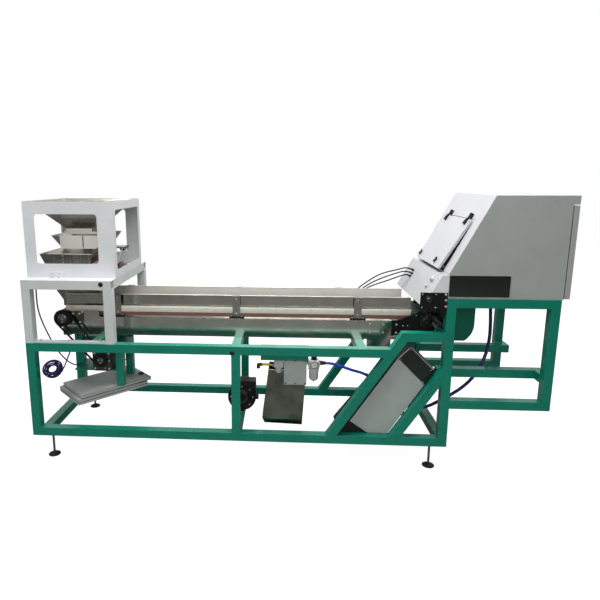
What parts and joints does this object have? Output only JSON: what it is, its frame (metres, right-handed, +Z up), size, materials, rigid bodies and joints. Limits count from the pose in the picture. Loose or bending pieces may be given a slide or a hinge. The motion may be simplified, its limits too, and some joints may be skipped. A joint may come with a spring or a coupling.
{
  "type": "color sorter",
  "caption": "Belt-type optical sorter: vibrating hopper feeder, flat belt between skirts and a sloped sorting cabinet, on a square-tube frame with levelling feet.",
  "frame": {"origin": "centre of the machine's footprint, on the floor under the levelling feet", "axes": "+X along the belt from the hopper to the cabinet, +Y away from the near long side, +Z up"},
  "size_m": [3.638, 0.8938, 1.874],
  "materials": {
    "near_side_frame": "gloss",
    "far_side_frame": "gloss",
    "head_stand": "gloss",
    "cross_members": "gloss",
    "hung_plates": "satin",
    "levelling_feet": "satin",
    "feeder_stand": "satin",
    "feeder_deck": "satin",
    "frame_bolts": "satin",
    "hopper_housing": "satin",
    "hopper_funnel": "brushed",
    "gate_slide": "brushed",
    "gate_knob": "gloss",
    "feed_tray": "brushed",
    "spreader_tray": "brushed",
    "leaf_springs": "satin",
    "vibrator_base": "satin",
    "magnet_coil": "matte",
    "feed_chute": "brushed",
    "conveyor_sides": "polished",
    "slider_bed": "satin",
    "belt": "matte",
    "drive_roller": "satin",
    "drive_pulley": "satin",
    "head_roller": "satin",
    "return_roller": "satin",
    "bearing_blocks": "satin",
    "head_plates": "satin",
    "skirts": "brushed",
    "skirt_brackets": "brushed",
    "skirt_feet": "matte",
    "motor": "satin",
    "motor_pulley": "satin",
    "v_belt": "matte",
    "cabinet_shell": "satin",
    "side_windows": "gloss",
    "inspection_door": "satin",
    "hinge_brackets": "matte",
    "hinge_leaves": "matte",
    "latch_near": "matte",
    "latch_far": "matte",
    "service_door": "satin",
    "nose_housing": "satin",
    "optic_plates": "satin",
    "lamps": "satin",
    "cameras": "satin",
    "ejector_bar": "satin",
    "discharge_hood": "satin",
    "control_box": "satin",
    "control_screen": "gloss",
    "debris_bin": "polished",
    "valve_box": "satin",
    "filter_regulator": "satin",
    "regulator_knob": "matte",
    "blower": "satin",
    "feeder_tube": "gloss",
    "blue_hose": "gloss",
    "head_hose": "satin",
    "nose_cables": "satin",
    "air_coil": "gloss"
  },
  "bodies": {
    "machine": {"near_side_frame": "near_side_frame", "far_side_frame": "far_side_frame", "head_stand": "head_stand", "cross_members": "cross_members", "hung_plates": "hung_plates", "levelling_feet": "levelling_feet", "feeder_stand": "feeder_stand", "feeder_deck": "feeder_deck", "frame_bolts": "frame_bolts", "hopper_housing": "hopper_housing", "hopper_funnel": "hopper_funnel", "leaf_springs": "leaf_springs", "vibrator_base": "vibrator_base", "magnet_coil": "magnet_coil", "feed_chute": "feed_chute", "conveyor_sides": "conveyor_sides", "slider_bed": "slider_bed", "belt": "belt", "bearing_blocks": "bearing_blocks", "head_plates": "head_plates", "skirts": "skirts", "skirt_brackets": "skirt_brackets", "skirt_feet": "skirt_feet", "motor": "motor", "v_belt": "v_belt", "cabinet_shell": "cabinet_shell", "side_windows": "side_windows", "hinge_brackets": "hinge_brackets", "nose_housing": "nose_housing", "optic_plates": "optic_plates", "lamps": "lamps", "cameras": "cameras", "ejector_bar": "ejector_bar", "discharge_hood": "discharge_hood", "control_box": "control_box", "control_screen": "control_screen", "debris_bin": "debris_bin", "valve_box": "valve_box", "filter_regulator": "filter_regulator", "blower": "blower", "feeder_tube": "feeder_tube", "blue_hose": "blue_hose", "head_hose": "head_hose", "nose_cables": "nose_cables", "air_coil": "air_coil"},
    "tail_drive": {"drive_roller": "drive_roller", "drive_pulley": "drive_pulley"},
    "head_drum": {"head_roller": "head_roller"},
    "return_drum": {"return_roller": "return_roller"},
    "motor_wheel": {"motor_pulley": "motor_pulley"},
    "outlet_gate": {"gate_slide": "gate_slide", "gate_knob": "gate_knob"},
    "vibrating_trays": {"feed_tray": "feed_tray", "spreader_tray": "spreader_tray"},
    "inspection_lid": {"inspection_door": "inspection_door", "hinge_leaves": "hinge_leaves"},
    "near_latch": {"latch_near": "latch_near"},
    "far_latch": {"latch_far": "latch_far"},
    "service_lid": {"service_door": "service_door"},
    "pressure_dial": {"regulator_knob": "regulator_knob"}
  },
  "joints": [
    {"name": "drive_spin", "type": "hinge", "parent": "machine", "child": "tail_drive", "pos_m": [-1.629, 0, 0.98], "axis": [0, 1, 0], "continuous": true},
    {"name": "head_spin", "type": "hinge", "parent": "machine", "child": "head_drum", "pos_m": [0.976, 0, 0.995], "axis": [0, 1, 0], "continuous": true},
    {"name": "return_spin", "type": "hinge", "parent": "machine", "child": "return_drum", "pos_m": [-0.219, 0, 0.90734], "axis": [0, 1, 0], "continuous": true},
    {"name": "motor_spin", "type": "hinge", "parent": "machine", "child": "motor_wheel", "pos_m": [-1.364, -0.239, 0.664], "axis": [0, 1, 0], "continuous": true},
    {"name": "gate_pull", "type": "slide", "parent": "machine", "child": "outlet_gate", "axis": [1, 0, 0], "range_m": [0, 0.185]},
    {"name": "tray_shake", "type": "slide", "parent": "machine", "child": "vibrating_trays", "axis": [1, 0, 0], "range_m": [-0.0015, 0.0015], "stiffness_N_per_m": 60000},
    {"name": "inspection_swing", "type": "hinge", "parent": "machine", "child": "inspection_lid", "pos_m": [1.20165, 0, 1.71626], "axis": [0, 1, 0], "range_deg": [-4, 76]},
    {"name": "near_latch_turn", "type": "hinge", "parent": "inspection_lid", "child": "near_latch", "pos_m": [1.03113, -0.177, 1.42672], "axis": [-0.8562, 0, 0.5167], "range_deg": [0, 90]},
    {"name": "far_latch_turn", "type": "hinge", "parent": "inspection_lid", "child": "far_latch", "pos_m": [1.03113, 0.215, 1.42672], "axis": [-0.8562, 0, 0.5167], "range_deg": [0, 90]},
    {"name": "service_swing", "type": "hinge", "parent": "machine", "child": "service_lid", "pos_m": [1.792, 0.373, 1.512], "axis": [0, 0, 1], "range_deg": [0, 110]},
    {"name": "pressure_turn", "type": "hinge", "parent": "machine", "child": "pressure_dial", "pos_m": [0.193, -0.317, 0.751], "axis": [0, 0, 1], "range_deg": [-540, 540]}
  ],
  "couplings": [
    {"joint": "head_spin", "follows": "drive_spin", "ratio": 1.375},
    {"joint": "return_spin", "follows": "drive_spin", "ratio": -1.8333},
    {"joint": "motor_spin", "follows": "drive_spin", "ratio": 1.3371}
  ]
}
